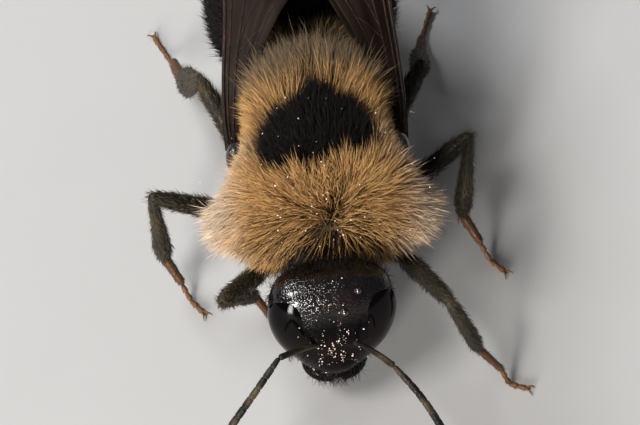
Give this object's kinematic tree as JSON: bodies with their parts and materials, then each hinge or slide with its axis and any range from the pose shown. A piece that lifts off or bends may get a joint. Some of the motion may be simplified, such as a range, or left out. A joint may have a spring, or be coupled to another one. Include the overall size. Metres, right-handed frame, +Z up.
{
  "type": "bumblebee",
  "caption": "Life-size female bumblebee standing on the floor, wings folded over its back, with an ochre furry collar, black face, bent feelers and a pale-banded tail.",
  "frame": {"origin": "on the floor under the middle of the whole bee's box, feelers and wings included", "axes": "+X to the bee's own left, +Y from the head towards the tail, +Z up"},
  "size_m": [0.0128, 0.023, 0.0096],
  "materials": {
    "ochre_fur": "soft ochre hair, cream at the sides",
    "black_fur": "soft black hair over black skin",
    "pale_fur": "soft off-white hair",
    "black_shell": "finely pitted glossy black shell",
    "eye": "dark red-black polished compound eye",
    "horn_brown": "satin orange-brown horn",
    "wing": "smoky brown veined film"
  },
  "bodies": {
    "root": {"head": "black_shell", "neck": "black_fur", "clypeus": "black_shell", "labrum": "black_shell", "mandible_left": "black_shell", "eye_left": "eye", "scape_left": "black_shell", "flagellum_left": "black_shell", "mandible_right": "black_shell", "eye_right": "eye", "scape_right": "black_shell", "flagellum_right": "black_shell", "proboscis": "horn_brown", "thorax_collar": "ochre_fur", "thorax_scutum": "black_fur", "thorax_scutellum": "ochre_fur", "petiole": "black_shell", "tegula_left": "black_shell", "forewing_left": "wing", "hindwing_left": "wing", "tegula_right": "black_shell", "forewing_right": "wing", "hindwing_right": "wing", "abdomen_1": "ochre_fur", "abdomen_2": "black_fur", "abdomen_3": "black_fur", "abdomen_4": "pale_fur", "abdomen_5": "pale_fur", "abdomen_6": "black_fur", "fore_left_coxa": "black_fur", "fore_left_femur": "black_fur", "fore_left_tibia": "black_fur", "fore_left_basitarsus": "horn_brown", "fore_left_tarsus": "horn_brown", "fore_right_coxa": "black_fur", "fore_right_femur": "black_fur", "fore_right_tibia": "black_fur", "fore_right_basitarsus": "horn_brown", "fore_right_tarsus": "horn_brown", "mid_left_coxa": "black_fur", "mid_left_femur": "black_fur", "mid_left_tibia": "black_fur", "mid_left_basitarsus": "horn_brown", "mid_left_tarsus": "horn_brown", "mid_right_coxa": "black_fur", "mid_right_femur": "black_fur", "mid_right_tibia": "black_fur", "mid_right_basitarsus": "horn_brown", "mid_right_tarsus": "horn_brown", "hind_left_coxa": "black_fur", "hind_left_femur": "black_fur", "hind_left_tibia": "black_fur", "hind_left_basitarsus": "horn_brown", "hind_left_tarsus": "horn_brown", "hind_right_coxa": "black_fur", "hind_right_femur": "black_fur", "hind_right_tibia": "black_fur", "hind_right_basitarsus": "horn_brown", "hind_right_tarsus": "horn_brown"}
  },
  "joints": []
}
